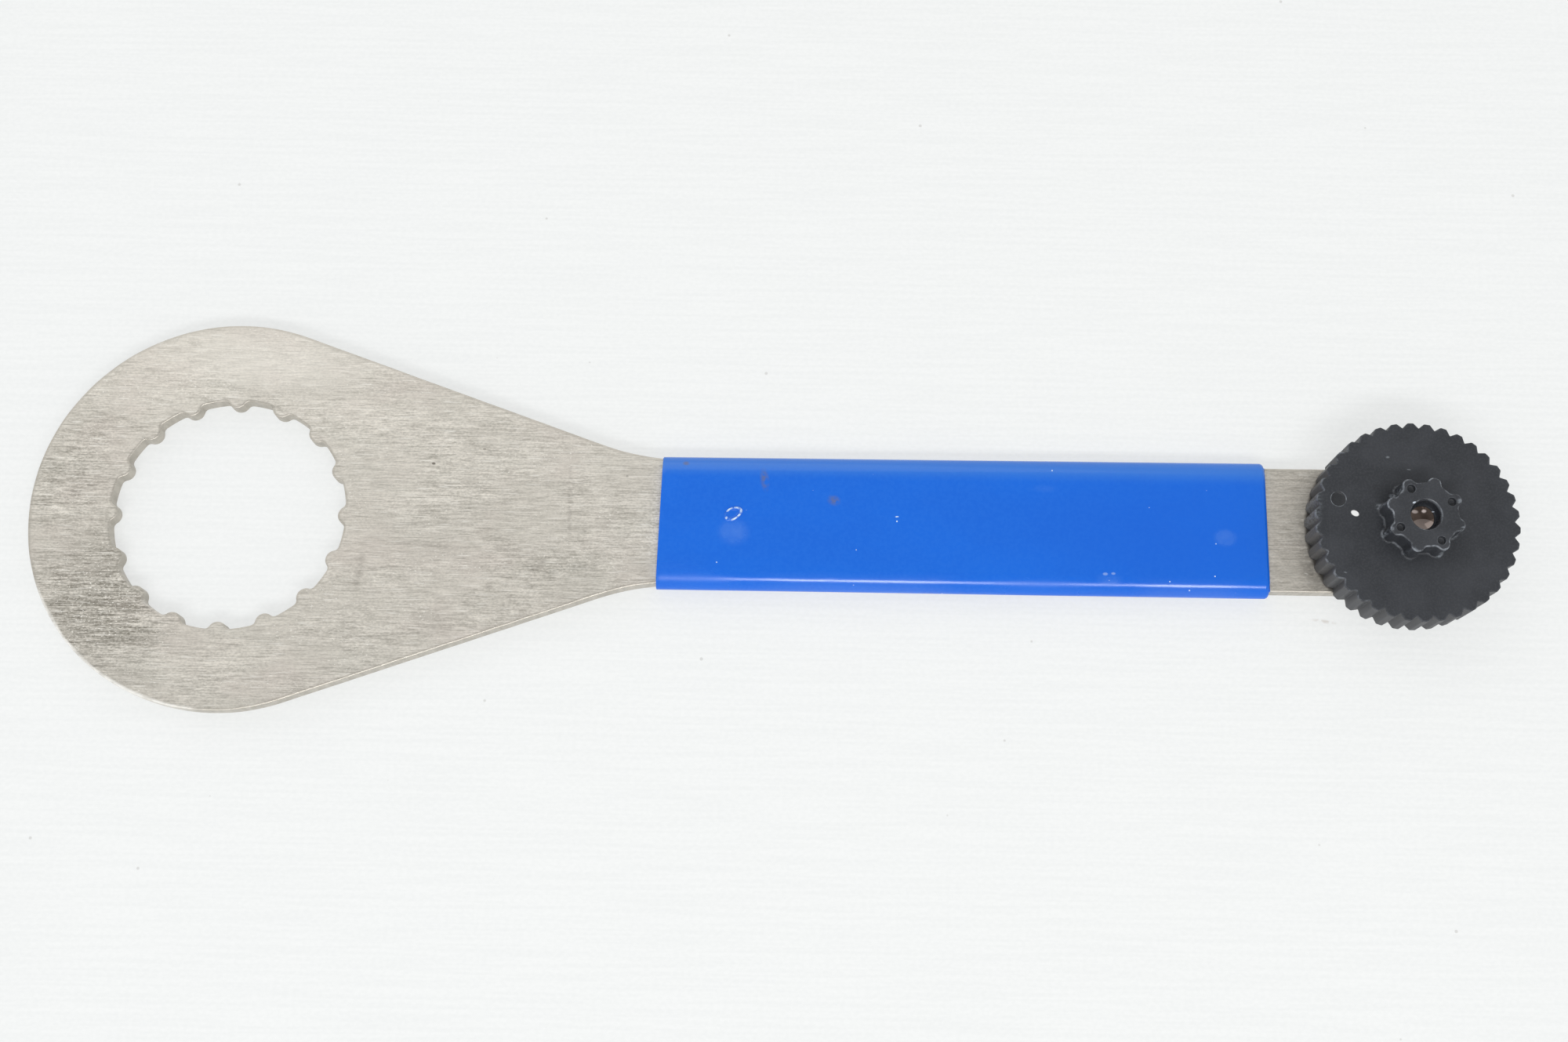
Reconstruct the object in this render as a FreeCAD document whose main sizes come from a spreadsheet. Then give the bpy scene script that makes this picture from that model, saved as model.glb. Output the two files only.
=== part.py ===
import FreeCAD, Part
import math
import os
import Sketcher

# Flat double-ended workshop wrench, millimetres.
# The frame's origin is the centre of the lobed ring opening, on the plate's underside.
# +X runs along the handle towards the loose knob, +Z is up and the plate's underside is Z = 0.

os.makedirs("parts", exist_ok=True)
doc = FreeCAD.newDocument("bottom_bracket_tool")

# Driving dimensions: lengths in millimetres, angles in degrees, and counts
SIZES = [
    ("plate_thickness", "3.2"),
    ("head_radius", "37.5"),
    ("taper_angle", "19.7"),
    ("neck_blend_radius", "45"),
    ("handle_width", "24"),
    ("plate_edge_round", "0.3"),
    ("ring_valley_radius", "22.25"),
    ("ring_tip_radius", "20.8"),
    ("ring_lobe_round", "1.8"),
    ("ring_lobe_blend", "1"),
    ("ring_lobe_count", "16"),
    ("grip_mouth_lap", "4"),
    ("grip_length", "114.4"),
    ("grip_wall", "0.95"),
    ("grip_cover", "1"),
    ("grip_fit", "0.05"),
    ("grip_edge_round", "2.4"),
    ("grip_end_round", "1"),
    ("bare_stub", "7"),
    ("knob_tip_radius", "18.85"),
    ("knob_root_radius", "18"),
    ("knob_tooth_round", "1.4"),
    ("knob_tooth_count", "38"),
    ("knob_tooth_turn", "5"),
    ("knob_disc_height", "8"),
    ("spline_height", "5"),
    ("spline_tip_radius", "7.3"),
    ("spline_valley_radius", "6.05"),
    ("spline_lobe_round", "1.25"),
    ("spline_blend", "0.9"),
    ("spline_lobe_count", "8"),
    ("spline_turn", "27"),
    ("spline_base_fillet", "0.3"),
    ("spline_top_break", "0.2"),
    ("bore_mouth_radius", "2.85"),
    ("bore_lip_radius", "2.2"),
    ("bore_lip_depth", "2.6"),
    ("pin_hole_radius", "0.78"),
    ("pin_hole_depth", "2"),
    ("pin_hole_circle", "5.4"),
    ("pin_hole_count", "4"),
    ("dimple_radius", "1.35"),
    ("dimple_depth", "0.35"),
    ("dimple_circle", "14.95"),
    ("dimple_turn", "164.3"),
    ("magnet_radius", "2.5"),
    ("magnet_fit", "0.02"),
    ("magnet_recess", "0.1"),
    ("magnet_edge_break", "0.2"),
]

sheet = doc.addObject("Spreadsheet::Sheet", "sizes")
for row, (alias, text) in enumerate(SIZES, start=1):
    sheet.set("A%d" % row, alias)
    sheet.set("B%d" % row, text)
    sheet.setAlias("B%d" % row, alias)
doc.recompute()

# Sizes that follow from the driving ones, as expressions
TAPER = "(sizes.taper_angle * 1 deg)"
HALF_HANDLE = "(sizes.handle_width / 2)"
TAPER_FOOT = "((sizes.head_radius / cos(%s) - %s) / tan(%s))" % (TAPER, HALF_HANDLE, TAPER)
NECK_END = "(%s + sizes.neck_blend_radius * tan(%s / 2))" % (TAPER_FOOT, TAPER)
GRIP_START = "(%s - sizes.grip_mouth_lap)" % NECK_END
GRIP_END = "(%s + sizes.grip_length)" % GRIP_START
SLOT_START = "(%s - sizes.neck_blend_radius * sin(%s) - sizes.grip_mouth_lap)" % (NECK_END, TAPER)
KNOB_X = "(%s + sizes.bare_stub + sizes.knob_tip_radius)" % GRIP_END
GRIP_HALF_WIDTH = "(%s + sizes.grip_fit + sizes.grip_wall)" % HALF_HANDLE
GRIP_HEIGHT = "(sizes.plate_thickness + 2 * sizes.grip_fit + 2 * sizes.grip_cover)"
KNOB_HEIGHT = "(sizes.knob_disc_height + sizes.spline_height)"
MAGNET_SEAT = "(%s - sizes.bore_lip_depth)" % KNOB_HEIGHT
MAGNET_LENGTH = "(%s - sizes.magnet_recess)" % MAGNET_SEAT


def number(expression):
    """The present value of an expression, as a plain float."""
    result = sheet.evalExpression(expression)
    return float(getattr(result, "Value", result))


def bind(item, target, expression):
    item.setExpression(target, expression)


def new_body(name):
    body = doc.addObject("PartDesign::Body", name)
    body.Label = name
    return body


def origin_feature(body, role):
    return next(item for item in body.Origin.OriginFeatures if item.Role == role)


def new_sketch(body, name, plane="XY_Plane", height=None, turn=None):
    """A sketch on one of the body's own planes, raised and turned by expressions."""
    sketch = body.newObject("Sketcher::SketchObject", name)
    sketch.AttachmentSupport = [(origin_feature(body, plane), "")]
    sketch.MapMode = "FlatFace"
    turn_now = number(turn) if turn else 0
    height_now = number(height) if height else 0
    sketch.AttachmentOffset = FreeCAD.Placement(
        FreeCAD.Vector(0, 0, height_now), FreeCAD.Rotation(FreeCAD.Vector(0, 0, 1), turn_now))
    if height:
        bind(sketch, "AttachmentOffset.Base.z", height)
    if turn:
        bind(sketch, "AttachmentOffset.Rotation.Angle", "%s * 1 deg" % turn)
    return sketch


def point(x, y):
    return FreeCAD.Vector(x, y, 0)


def add_line(sketch, start, end):
    return sketch.addGeometry(Part.LineSegment(start, end), False)


def add_arc(sketch, centre, radius, first, last):
    circle = Part.Circle(centre, FreeCAD.Vector(0, 0, 1), radius)
    return sketch.addGeometry(Part.ArcOfCircle(circle, math.radians(first), math.radians(last)), False)


def size(sketch, name, expression, *constraint):
    """A named dimension of a sketch, driven by an expression."""
    index = sketch.addConstraint(Sketcher.Constraint(*constraint))
    sketch.renameConstraint(index, name)
    bind(sketch, "Constraints.%s" % name, expression)


def add_circle_on_axis(sketch, radius, distance=None):
    """A full circle on the sketch's X axis, at the origin unless a distance is given."""
    centre = point(number(distance) if distance else 0, 0)
    circle = sketch.addGeometry(Part.Circle(centre, FreeCAD.Vector(0, 0, 1), number(radius)), False)
    if distance:
        sketch.addConstraint(Sketcher.Constraint("PointOnObject", circle, 3, -1))
        size(sketch, "distance", distance, "DistanceX", -1, 1, circle, 3, number(distance))
    else:
        sketch.addConstraint(Sketcher.Constraint("Coincident", circle, 3, -1, 1))
    size(sketch, "radius_%d" % circle, radius, "Radius", circle, number(radius))
    return circle


def pad(body, name, sketch, length):
    feature = body.newObject("PartDesign::Pad", name)
    feature.Profile = sketch
    bind(feature, "Length", length)
    return feature


def pocket_up(body, name, sketch, length):
    """Cuts from the sketch's plane upwards."""
    feature = body.newObject("PartDesign::Pocket", name)
    feature.Profile = sketch
    feature.Reversed = True
    bind(feature, "Length", length)
    return feature


def pocket_down(body, name, sketch, length):
    """Cuts from the sketch's plane downwards."""
    feature = body.newObject("PartDesign::Pocket", name)
    feature.Profile = sketch
    bind(feature, "Length", length)
    return feature


def repeat_round(body, name, feature, count):
    """The feature repeated all the way round the body's Z axis."""
    pattern = body.newObject("PartDesign::PolarPattern", name)
    pattern.Originals = [feature]
    pattern.Axis = (origin_feature(body, "Z_Axis"), [""])
    pattern.Angle = 360
    bind(pattern, "Occurrences", count)
    body.Tip = pattern
    doc.recompute()
    return pattern


def edges_of(feature, wanted):
    """Names of the feature's edges whose two ends and middle all satisfy the test."""
    names = []
    for index, edge in enumerate(feature.Shape.Edges, start=1):
        middle = edge.valueAt((edge.FirstParameter + edge.LastParameter) / 2)
        ends = [vertex.Point for vertex in edge.Vertexes]
        if all(wanted(spot) for spot in ends + [middle]):
            names.append("Edge%d" % index)
    return names


def is_upright(feature, name):
    """True for a straight edge along Z."""
    ends = [vertex.Point for vertex in feature.Shape.getElement(name).Vertexes]
    return len(ends) == 2 and is_near(ends[0].x, ends[1].x) and is_near(ends[0].y, ends[1].y)


def dress(body, kind, name, feature, edges, field, amount):
    """A fillet or a chamfer on the named edges."""
    item = body.newObject("PartDesign::%s" % kind, name)
    item.Base = (feature, edges)
    bind(item, field, amount)
    body.Tip = item
    doc.recompute()
    return item


def is_near(first, second):
    return abs(first - second) < 1e-4


def reach(spot):
    """Distance from the body's Z axis."""
    return math.hypot(spot.x, spot.y)


# The plate's outline and the sleeve's slot both follow this neck
def add_neck_side(sketch, side, grow, start_x):
    """Taper line and neck blend on one side, grown by an offset, from start_x to the straight handle."""
    taper = math.radians(number(TAPER))
    half = number(HALF_HANDLE) + grow
    radius = number("sizes.neck_blend_radius") - grow
    neck_x = number(NECK_END)
    blend_x = neck_x - radius * math.sin(taper)
    blend_y = half + radius * (1 - math.cos(taper))
    start_y = blend_y + (blend_x - start_x) * math.tan(taper)
    line = add_line(sketch, point(start_x, side * start_y), point(blend_x, side * blend_y))
    centre = point(neck_x, side * (half + radius))
    if side > 0:
        blend = add_arc(sketch, centre, radius, 270 - math.degrees(taper), 270)
        sketch.addConstraint(Sketcher.Constraint("Tangent", line, 2, blend, 1))
    else:
        blend = add_arc(sketch, centre, radius, 90, 90 + math.degrees(taper))
        sketch.addConstraint(Sketcher.Constraint("Tangent", line, 2, blend, 2))
    return line, blend


# Steel plate: round head, straight tapers, blended neck, parallel handle with a rounded end
def make_wrench_plate():
    body = new_body("wrench_plate")
    outline = new_sketch(body, "plate_outline")
    taper = number("sizes.taper_angle")
    head = number("sizes.head_radius")
    half = number(HALF_HANDLE)
    neck_x = number(NECK_END)
    knob_x = number(KNOB_X)
    tangent_x = head * math.sin(math.radians(taper))
    head_arc = add_arc(outline, point(0, 0), head, 90 - taper, 270 + taper)
    top_taper, top_blend = add_neck_side(outline, 1, 0, tangent_x)
    low_taper, low_blend = add_neck_side(outline, -1, 0, tangent_x)
    top_side = add_line(outline, point(neck_x, half), point(knob_x, half))
    low_side = add_line(outline, point(neck_x, -half), point(knob_x, -half))
    end_arc = add_arc(outline, point(knob_x, 0), half, -90, 90)
    for constraint in (
            ("Coincident", head_arc, 3, -1, 1),
            ("Tangent", head_arc, 1, top_taper, 1),
            ("Tangent", head_arc, 2, low_taper, 1),
            ("Vertical", top_taper, 1, low_taper, 1),
            ("Tangent", top_blend, 2, top_side, 1),
            ("Tangent", low_blend, 1, low_side, 1),
            ("Equal", top_blend, low_blend),
            ("Tangent", top_side, 2, end_arc, 2),
            ("Tangent", low_side, 2, end_arc, 1),
            ("Horizontal", top_side),
            ("Horizontal", low_side),
            ("PointOnObject", end_arc, 3, -1)):
        outline.addConstraint(Sketcher.Constraint(*constraint))
    size(outline, "head", "sizes.head_radius", "Radius", head_arc, head)
    size(outline, "taper", "-%s" % TAPER, "Angle", top_taper, -math.radians(taper))
    size(outline, "blend", "sizes.neck_blend_radius", "Radius", top_blend,
         number("sizes.neck_blend_radius"))
    size(outline, "end", HALF_HANDLE, "Radius", end_arc, half)
    size(outline, "length", KNOB_X, "DistanceX", -1, 1, end_arc, 3, knob_x)
    add_circle_on_axis(outline, "sizes.ring_valley_radius")
    pad(body, "plate_blank", outline, "sizes.plate_thickness")

    lobe = new_sketch(body, "ring_lobe_outline")
    add_circle_on_axis(lobe, "sizes.ring_lobe_round", "sizes.ring_tip_radius + sizes.ring_lobe_round")
    lobe_pad = pad(body, "ring_lobe", lobe, "sizes.plate_thickness")
    lobes = repeat_round(body, "ring_lobes", lobe_pad, "sizes.ring_lobe_count")
    valley = number("sizes.ring_valley_radius")
    corners = [name for name in edges_of(lobes, lambda spot: is_near(reach(spot), valley))
               if is_upright(lobes, name)]
    blends = dress(body, "Fillet", "ring_lobe_blends", lobes, corners, "Radius", "sizes.ring_lobe_blend")
    top = number("sizes.plate_thickness")
    rims = edges_of(blends, lambda spot: is_near(spot.z, 0) or is_near(spot.z, top))
    dress(body, "Fillet", "plate_edges", blends, rims, "Radius", "sizes.plate_edge_round")
    return body


# Vinyl sleeve: well-rounded sides, cut square at the head end and eased at the knob end
def make_grip_sleeve():
    body = new_body("grip_sleeve")
    underside = "-(sizes.grip_fit + sizes.grip_cover)"
    outline = new_sketch(body, "sleeve_outline", height=underside)
    start_x = number(GRIP_START)
    end_x = number(GRIP_END)
    half = number(GRIP_HALF_WIDTH)
    corners = [point(start_x, -half), point(end_x, -half), point(end_x, half), point(start_x, half)]
    sides = [add_line(outline, corners[i], corners[(i + 1) % 4]) for i in range(4)]
    for i in range(4):
        outline.addConstraint(Sketcher.Constraint("Coincident", sides[i], 2, sides[(i + 1) % 4], 1))
    for constraint in (("Horizontal", sides[0]), ("Horizontal", sides[2]), ("Vertical", sides[3]),
                       ("Symmetric", sides[1], 1, sides[1], 2, -1)):
        outline.addConstraint(Sketcher.Constraint(*constraint))
    size(outline, "start", GRIP_START, "DistanceX", -1, 1, sides[3], 1, start_x)
    size(outline, "length", "sizes.grip_length", "DistanceX", sides[0], 1, sides[0], 2, end_x - start_x)
    size(outline, "width", "2 * %s" % GRIP_HALF_WIDTH, "DistanceY", sides[1], 1, sides[1], 2, 2 * half)
    block = pad(body, "sleeve_block", outline, GRIP_HEIGHT)
    doc.recompute()

    low = number(underside)
    high = low + number(GRIP_HEIGHT)
    lengthways = edges_of(block, lambda spot: is_near(abs(spot.y), half)
                          and (is_near(spot.z, low) or is_near(spot.z, high)))
    rounded = dress(body, "Fillet", "sleeve_edges", block, lengthways, "Radius", "sizes.grip_edge_round")
    end_rim = edges_of(rounded, lambda spot: is_near(spot.x, end_x))
    dress(body, "Fillet", "sleeve_end", rounded, end_rim, "Radius", "sizes.grip_end_round")

    # The slot follows the plate's own neck and handle, grown by the fit
    slot = new_sketch(body, "sleeve_slot_outline", height="-sizes.grip_fit")
    grow = number("sizes.grip_fit")
    slot_start = number(SLOT_START)
    slot_end = number(KNOB_X)
    slot_half = number(HALF_HANDLE) + grow
    neck_x = number(NECK_END)
    top_line, top_blend = add_neck_side(slot, 1, grow, slot_start)
    low_line, low_blend = add_neck_side(slot, -1, grow, slot_start)
    top_side = add_line(slot, point(neck_x, slot_half), point(slot_end, slot_half))
    low_side = add_line(slot, point(neck_x, -slot_half), point(slot_end, -slot_half))
    far_side = add_line(slot, point(slot_end, slot_half), point(slot_end, -slot_half))
    near_side = add_line(slot, slot.getPoint(top_line, 1), slot.getPoint(low_line, 1))
    for constraint in (
            ("Tangent", top_blend, 2, top_side, 1),
            ("Tangent", low_blend, 1, low_side, 1),
            ("Equal", top_blend, low_blend),
            ("Coincident", top_side, 2, far_side, 1),
            ("Coincident", low_side, 2, far_side, 2),
            ("Coincident", top_line, 1, near_side, 1),
            ("Coincident", low_line, 1, near_side, 2),
            ("Horizontal", top_side),
            ("Horizontal", low_side),
            ("Vertical", top_side, 1, low_side, 1),
            ("Symmetric", far_side, 1, far_side, 2, -1),
            ("Symmetric", near_side, 1, near_side, 2, -1)):
        slot.addConstraint(Sketcher.Constraint(*constraint))
    size(slot, "taper", "-%s" % TAPER, "Angle", top_line, -math.radians(number("sizes.taper_angle")))
    size(slot, "blend", "sizes.neck_blend_radius - sizes.grip_fit", "Radius", top_blend,
         number("sizes.neck_blend_radius - sizes.grip_fit"))
    size(slot, "neck", NECK_END, "DistanceX", -1, 1, top_blend, 2, neck_x)
    size(slot, "width", "2 * (%s + sizes.grip_fit)" % HALF_HANDLE, "DistanceY", far_side, 2, far_side, 1,
         2 * slot_half)
    size(slot, "start", SLOT_START, "DistanceX", -1, 1, near_side, 1, slot_start)
    size(slot, "end", KNOB_X, "DistanceX", -1, 1, far_side, 1, slot_end)
    pocket_up(body, "sleeve_slot", slot, "sizes.plate_thickness + 2 * sizes.grip_fit")
    return body


# Loose moulded knob: toothed disc with a lobed spline on top, bored through for the magnet
def make_cap_tool_knob():
    body = new_body("cap_tool_knob")
    bind(body, "Placement.Base.x", KNOB_X)
    bind(body, "Placement.Base.z", "sizes.plate_thickness")
    disc = new_sketch(body, "disc_outline")
    add_circle_on_axis(disc, "sizes.knob_root_radius")
    pad(body, "disc", disc, "sizes.knob_disc_height")
    tooth = new_sketch(body, "tooth_outline", turn="sizes.knob_tooth_turn")
    add_circle_on_axis(tooth, "sizes.knob_tooth_round", "sizes.knob_tip_radius - sizes.knob_tooth_round")
    tooth_pad = pad(body, "tooth", tooth, "sizes.knob_disc_height")
    repeat_round(body, "teeth", tooth_pad, "sizes.knob_tooth_count")

    spline = new_sketch(body, "spline_core_outline", height="sizes.knob_disc_height")
    add_circle_on_axis(spline, "sizes.spline_valley_radius")
    pad(body, "spline_core", spline, "sizes.spline_height")
    lobe = new_sketch(body, "spline_lobe_outline", height="sizes.knob_disc_height", turn="sizes.spline_turn")
    add_circle_on_axis(lobe, "sizes.spline_lobe_round", "sizes.spline_tip_radius - sizes.spline_lobe_round")
    lobe_pad = pad(body, "spline_lobe", lobe, "sizes.spline_height")
    lobes = repeat_round(body, "spline_lobes", lobe_pad, "sizes.spline_lobe_count")
    valley = number("sizes.spline_valley_radius")
    corners = [name for name in edges_of(lobes, lambda spot: is_near(reach(spot), valley))
               if is_upright(lobes, name)]
    blends = dress(body, "Fillet", "spline_blends", lobes, corners, "Radius", "sizes.spline_blend")
    disc_top = number("sizes.knob_disc_height")
    tip = number("sizes.spline_tip_radius")
    base = edges_of(blends, lambda spot: is_near(spot.z, disc_top) and reach(spot) < tip + 1e-3)
    footed = dress(body, "Fillet", "spline_foot", blends, base, "Radius", "sizes.spline_base_fillet")
    knob_top = number(KNOB_HEIGHT)
    crown = edges_of(footed, lambda spot: is_near(spot.z, knob_top))
    dress(body, "Chamfer", "spline_crown", footed, crown, "Size", "sizes.spline_top_break")

    pin_hole = new_sketch(body, "pin_hole_outline", height=KNOB_HEIGHT, turn="sizes.spline_turn")
    add_circle_on_axis(pin_hole, "sizes.pin_hole_radius", "sizes.pin_hole_circle")
    pin_hole_cut = pocket_down(body, "pin_hole", pin_hole, "sizes.pin_hole_depth")
    repeat_round(body, "pin_holes", pin_hole_cut, "sizes.pin_hole_count")
    dimple = new_sketch(body, "dimple_outline", height="sizes.knob_disc_height", turn="sizes.dimple_turn")
    add_circle_on_axis(dimple, "sizes.dimple_radius", "sizes.dimple_circle")
    pocket_down(body, "dimple", dimple, "sizes.dimple_depth")
    cut_knob_bore(body)
    return body


def cut_knob_bore(body):
    """Magnet pocket from below, a narrow lip, and a bore that widens to its mouth."""
    profile = new_sketch(body, "bore_profile", plane="XZ_Plane")
    pocket = number("sizes.magnet_radius + sizes.magnet_fit")
    lip = number("sizes.bore_lip_radius")
    mouth = number("sizes.bore_mouth_radius")
    seat = number(MAGNET_SEAT)
    top = number(KNOB_HEIGHT)
    spots = [point(0, 0), point(pocket, 0), point(pocket, seat), point(lip, seat), point(mouth, top),
             point(0, top)]
    count = len(spots)
    lines = [add_line(profile, spots[i], spots[(i + 1) % count]) for i in range(count)]
    for i in range(count):
        profile.addConstraint(Sketcher.Constraint("Coincident", lines[i], 2, lines[(i + 1) % count], 1))
    for constraint in (("Coincident", lines[0], 1, -1, 1), ("Horizontal", lines[0]), ("Vertical", lines[1]),
                       ("Horizontal", lines[2]), ("Horizontal", lines[4]), ("Vertical", lines[5])):
        profile.addConstraint(Sketcher.Constraint(*constraint))
    size(profile, "pocket", "sizes.magnet_radius + sizes.magnet_fit", "DistanceX", lines[0], 1, lines[0], 2,
         pocket)
    size(profile, "seat", MAGNET_SEAT, "DistanceY", lines[1], 1, lines[1], 2, seat)
    size(profile, "lip", "sizes.bore_lip_radius", "DistanceX", -1, 1, lines[2], 2, lip)
    size(profile, "mouth", "sizes.bore_mouth_radius", "DistanceX", lines[4], 2, lines[4], 1, mouth)
    size(profile, "top", KNOB_HEIGHT, "DistanceY", lines[5], 2, lines[5], 1, top)
    bore = body.newObject("PartDesign::Groove", "bore")
    bore.Profile = profile
    bore.ReferenceAxis = (profile, ["V_Axis"])
    bore.Angle = 360


# Magnet pressed up into the knob, its lower face just inside the knob's underside
def make_knob_magnet():
    body = new_body("knob_magnet")
    bind(body, "Placement.Base.x", KNOB_X)
    bind(body, "Placement.Base.z", "sizes.plate_thickness + sizes.magnet_recess")
    outline = new_sketch(body, "magnet_outline")
    add_circle_on_axis(outline, "sizes.magnet_radius")
    slug = pad(body, "magnet_slug", outline, MAGNET_LENGTH)
    doc.recompute()
    rims = edges_of(slug, lambda spot: is_near(spot.z, 0))
    dress(body, "Chamfer", "magnet_edge", slug, rims, "Size", "sizes.magnet_edge_break")
    return body


bodies = [make_wrench_plate(), make_grip_sleeve(), make_cap_tool_knob(), make_knob_magnet()]
doc.recompute()

faults = [item.Name for item in doc.Objects if "Invalid" in item.State or "Error" in item.State]
for sketch in doc.findObjects("Sketcher::SketchObject"):
    if not sketch.FullyConstrained:
        faults.append("%s has free sizes" % sketch.Name)
for body in bodies:
    if body.Shape.isNull() or not body.Shape.isValid():
        faults.append("%s has no valid shape" % body.Label)
if faults:
    raise RuntimeError("not built: " + ", ".join(faults))

for body in bodies:
    body.Shape.exportStep("parts/%s.step" % body.Label)
    box = body.Shape.BoundBox
    print("%s: %d solid, %.1f mm3, X %.2f to %.2f, Y %.2f to %.2f, Z %.2f to %.2f" % (
        body.Label, len(body.Shape.Solids), body.Shape.Volume,
        box.XMin, box.XMax, box.YMin, box.YMax, box.ZMin, box.ZMax))
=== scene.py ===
import math

import bpy
import numpy as np
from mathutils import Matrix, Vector, geometry, noise


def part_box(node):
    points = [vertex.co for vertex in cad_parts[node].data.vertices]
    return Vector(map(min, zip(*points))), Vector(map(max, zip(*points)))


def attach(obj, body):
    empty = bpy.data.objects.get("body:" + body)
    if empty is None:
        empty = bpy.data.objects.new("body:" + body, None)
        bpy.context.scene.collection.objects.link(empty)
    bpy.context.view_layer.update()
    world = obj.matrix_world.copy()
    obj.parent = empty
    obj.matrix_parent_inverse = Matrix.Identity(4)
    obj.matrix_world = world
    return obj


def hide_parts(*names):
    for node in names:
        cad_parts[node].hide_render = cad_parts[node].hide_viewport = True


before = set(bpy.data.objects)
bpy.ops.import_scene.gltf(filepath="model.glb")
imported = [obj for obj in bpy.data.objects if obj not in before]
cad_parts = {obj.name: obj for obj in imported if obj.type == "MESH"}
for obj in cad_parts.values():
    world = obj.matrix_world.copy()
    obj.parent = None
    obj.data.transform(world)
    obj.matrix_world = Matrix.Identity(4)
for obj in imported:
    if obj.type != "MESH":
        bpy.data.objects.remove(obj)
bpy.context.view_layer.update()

# Shapes below are in millimetres and are scaled to metres when their mesh is made
MM = 0.001


def node_box(name):
    """The node's lowest and highest corners in millimetres."""
    low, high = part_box(name)
    return Vector(low) / MM, Vector(high) / MM


PLATE_LOW, PLATE_HIGH = node_box("wrench_plate")
SLEEVE_LOW, SLEEVE_HIGH = node_box("grip_sleeve")
KNOB_LOW, KNOB_HIGH = node_box("cap_tool_knob")
MAGNET_LOW, MAGNET_HIGH = node_box("knob_magnet")

# Plate
HEAD_RADIUS = -PLATE_LOW.x
TAPER = 19.7
NECK_RADIUS = 45.0
HANDLE_HALF = 12.0
PLATE_EDGE = 0.3
RING_ROOT = 22.25
RING_TIP = 20.8
RING_LOBE = 1.8
RING_BLEND = 1.0
RING_LOBES = 16

# Sleeve
SLEEVE_SIDE = 3.5
SLEEVE_END_ROUND = 0.8
SLEEVE_MOUTH_EDGE = 0.12
SLEEVE_SLANT = 0.027
SLANT_FADE = 20.0
SLOT_FIT = 0.05
SLOT_CORNER = 0.12
MOUTH_FLARE = 0.18
MOUTH_FLARE_DEPTH = 4.0
FAR_SIDE_SHIFT = -0.22
FAR_SIDE_GAIN = 0.5
LONG_WAVE = 0.035
SHORT_WAVE = 0.018
WAVE_START = 3.0

# Knob
KNOB_X = (KNOB_LOW.x + KNOB_HIGH.x) / 2
DISC_TOP = KNOB_LOW.z + 8.0
TOOTH_TIP = 18.92
TOOTH_ROOT = 17.95
TOOTH_TIP_HALF = 0.55
TOOTH_TIP_ROUND = 0.36
TOOTH_ROOT_ROUND = 0.12
TOOTH_EDGE = 0.2
TEETH = 38
TOOTH_TURN = 5.2
SPLINE_TIP = 7.3
SPLINE_ROOT = 6.05
SPLINE_LOBE = 1.25
SPLINE_BLEND = 0.9
SPLINE_LOBES = 8
SPLINE_TURN = 27.0
SPLINE_FOOT = 0.3
SPLINE_EDGE = 0.2
PIN_RADIUS = 0.78
PIN_DEPTH = 0.9
PIN_CIRCLE = 5.4
PIN_HOLES = 4
DIMPLE_RADIUS = 1.35
DIMPLE_DEPTH = 0.3
DIMPLE_CIRCLE = 14.95
DIMPLE_TURN = math.radians(164.3)
DIMPLE_X = KNOB_X + DIMPLE_CIRCLE * math.cos(DIMPLE_TURN)
DIMPLE_Y = DIMPLE_CIRCLE * math.sin(DIMPLE_TURN)

# Blister on the sleeve: centre, half lengths and turn of its oval
BLISTER_X = 95.4
BLISTER_Y = 1.2
BLISTER_HALF_X = 1.85
BLISTER_HALF_Y = 1.35
BLISTER_TURN = math.radians(24)
BLISTER_POINTS = 72

# Table, and the share of its look that doesn't depend on the lamps
TABLE_HALF = 3.0
TABLE_GAP = 0.02
TABLE_GLOW = 0.68

# Camera in metres and degrees, fitted to the photo
CAMERA_LENS = 44.672
CAMERA_PLACE = (0.106077, -0.091146, 0.358298)
CAMERA_TURN = (14.4267, -0.0570, 0.9143)

# Lamps, as (name, width, depth, watts, direction from the object, distance)
LAMPS = [
    ("front_window", 0.70, 0.16, 3.4, (0.04, -0.61, 0.79), 0.9),
    ("back_window", 1.2, 0.8, 1.8, (-0.35, 0.62, 0.70), 1.0),
]
LAMP_TARGET = (0.11, 0.0, 0.0)
ROOM_COLOUR = (0.985, 0.995, 1.0, 1.0)
ROOM_HORIZON = 0.99
ROOM_ZENITH = 0.45

# Bore wall from its mouth down, as (radius, depth)
BORE_WALL = [
    (3.02, 0.0), (2.94, 0.01), (2.82, 0.16), (2.76, 0.9), (2.7, 1.7),
    (2.6, 2.15), (2.42, 2.4), (2.26, 2.5), (2.2, 2.62), (2.2, 3.5),
]


# Outlines are lists of (x, y, outward normal x, outward normal y), with the material on the left
def arc(cx, cy, radius, first, last, step):
    """Points from the first angle up to, and without, the last one, in degrees."""
    count = max(3, math.ceil(abs(math.radians(last - first)) * radius / step))
    turn = 1 if last > first else -1
    spots = []
    for k in range(count):
        angle = math.radians(first + (last - first) * k / count)
        x, y = math.cos(angle), math.sin(angle)
        spots.append((cx + radius * x, cy + radius * y, turn * x, turn * y))
    return spots


def line(x0, y0, x1, y1, step):
    """Even points along a straight run, without its last one."""
    length = math.hypot(x1 - x0, y1 - y0)
    count = max(1, math.ceil(length / step))
    nx, ny = (y1 - y0) / length, (x0 - x1) / length
    return [(x0 + (x1 - x0) * k / count, y0 + (y1 - y0) * k / count, nx, ny) for k in range(count)]


def swept(first, last, turn):
    """The last angle, moved by whole turns to lie ahead of the first."""
    while (last - first) * turn <= 0:
        last += 360 * turn
    while (last - first) * turn > 360:
        last -= 360 * turn
    return last


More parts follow.
